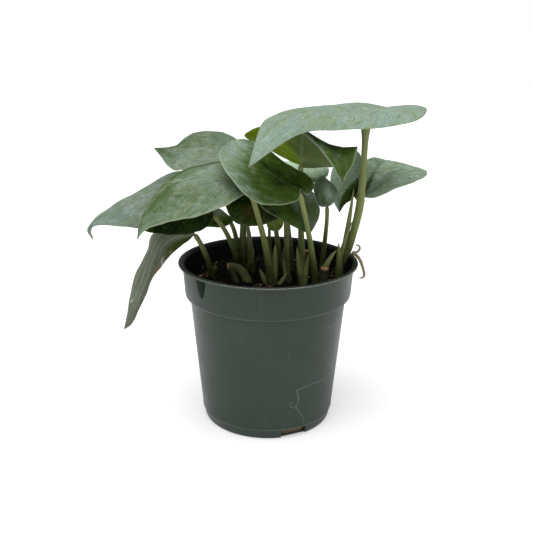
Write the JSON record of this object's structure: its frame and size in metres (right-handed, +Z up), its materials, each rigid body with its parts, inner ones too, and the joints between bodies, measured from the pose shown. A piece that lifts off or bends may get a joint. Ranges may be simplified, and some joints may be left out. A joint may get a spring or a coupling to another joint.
{
  "type": "potted platinum java scindapsus",
  "caption": "Low crowd of broad silvery green leaves with arching pointed tips on upright stalks, growing in potting mix in a round glossy green nursery pot.",
  "frame": {"origin": "centre of the pot's flat underside, on the surface it stands on", "axes": "+Z up, -Y towards the viewer of the picture, +X to the viewer's right"},
  "size_m": [0.2111, 0.1452, 0.192],
  "materials": {
    "pot_plastic": "dark green moulded plastic, soft gloss with fine scuffs",
    "potting_mix": "damp near-black crumbly mix of peat and bark",
    "leaf": "satin silver green with fine darker veins, plain green underneath",
    "young_leaf": "smooth bright yellow green",
    "stem": "smooth satin olive green",
    "cut_stem": "dull olive with a dry tan cut end",
    "aerial_root": "dry matt tan"
  },
  "bodies": {
    "root": {"aerial_root": "aerial_root", "bud_left": "cut_stem", "leaf_arched": "leaf", "leaf_centre": "leaf", "leaf_crown": "leaf", "leaf_dark": "leaf", "leaf_far_left": "leaf", "leaf_front_left": "leaf", "leaf_hanging_left": "leaf", "leaf_hanging_middle": "leaf", "leaf_knob": "leaf", "leaf_rear_flat": "leaf", "leaf_rear_middle": "leaf", "leaf_right": "leaf", "leaf_shaded_left": "leaf", "leaf_upper_left": "leaf", "leaf_young": "young_leaf", "pot": "pot_plastic", "soil": "potting_mix", "stem_arched": "stem", "stem_centre": "stem", "stem_crown": "stem", "stem_dark": "stem", "stem_front_left": "stem", "stem_hanging_left": "stem", "stem_hanging_middle": "stem", "stem_knob": "stem", "stem_rear_flat": "stem", "stem_rear_left": "stem", "stem_young": "stem", "stub_left": "cut_stem", "stub_rear": "cut_stem", "stub_right": "cut_stem"}
  },
  "joints": []
}
